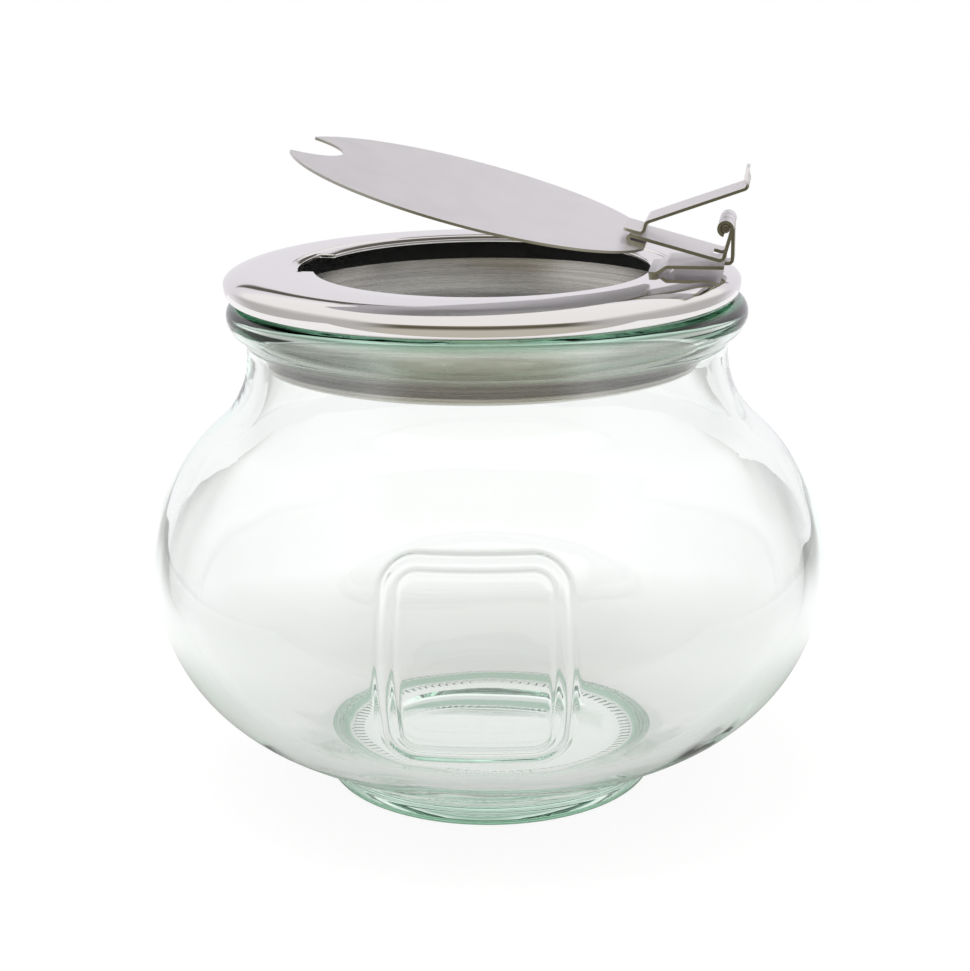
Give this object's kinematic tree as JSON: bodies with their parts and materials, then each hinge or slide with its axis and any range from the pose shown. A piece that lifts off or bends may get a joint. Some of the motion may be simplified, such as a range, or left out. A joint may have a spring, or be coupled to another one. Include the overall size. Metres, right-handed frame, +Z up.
{
  "type": "storage jar with pouring lid",
  "caption": "Round-bellied clear glass storage jar on a small foot, with a lift-off steel lid whose hinged flap opens by a thumb lever and has a spoon notch.",
  "frame": {"origin": "centre of the jar's foot, on the face that it rests on", "axes": "+Z up along the jar's axis; +X towards the hinge; +Y along the hinge pin, so the flap's tip lies towards -X"},
  "size_m": [0.1452, 0.1452, 0.1381],
  "materials": {
    "jar_glass": "clear pressed glass with a light green tint",
    "seal_black": "matt black silicone",
    "ring_polished": "polished stainless steel",
    "collar_brushed": "stainless steel brushed round the axis",
    "flap_satin": "satin stainless steel",
    "hinge_steel": "satin stainless steel strip",
    "pin_steel": "plain drawn steel wire"
  },
  "bodies": {
    "jar": {"glass_jar": "jar_glass"},
    "lid": {"cover_ring": "ring_polished", "seal_ring": "seal_black", "collar": "collar_brushed", "hinge_base": "hinge_steel", "hinge_pin": "pin_steel"},
    "flap": {"flap": "flap_satin", "hinge_arm": "hinge_steel", "thumb_lever": "hinge_steel"}
  },
  "joints": [
    {"name": "lid_lift", "type": "slide", "parent": "jar", "child": "lid", "axis": [0, 0, 1], "range_m": [0, 0.06]},
    {"name": "flap_hinge", "type": "hinge", "parent": "lid", "child": "flap", "pos_m": [0.0502, 0, 0.1224], "axis": [0, 1, 0], "range_deg": [-15.5, 79.5]}
  ]
}
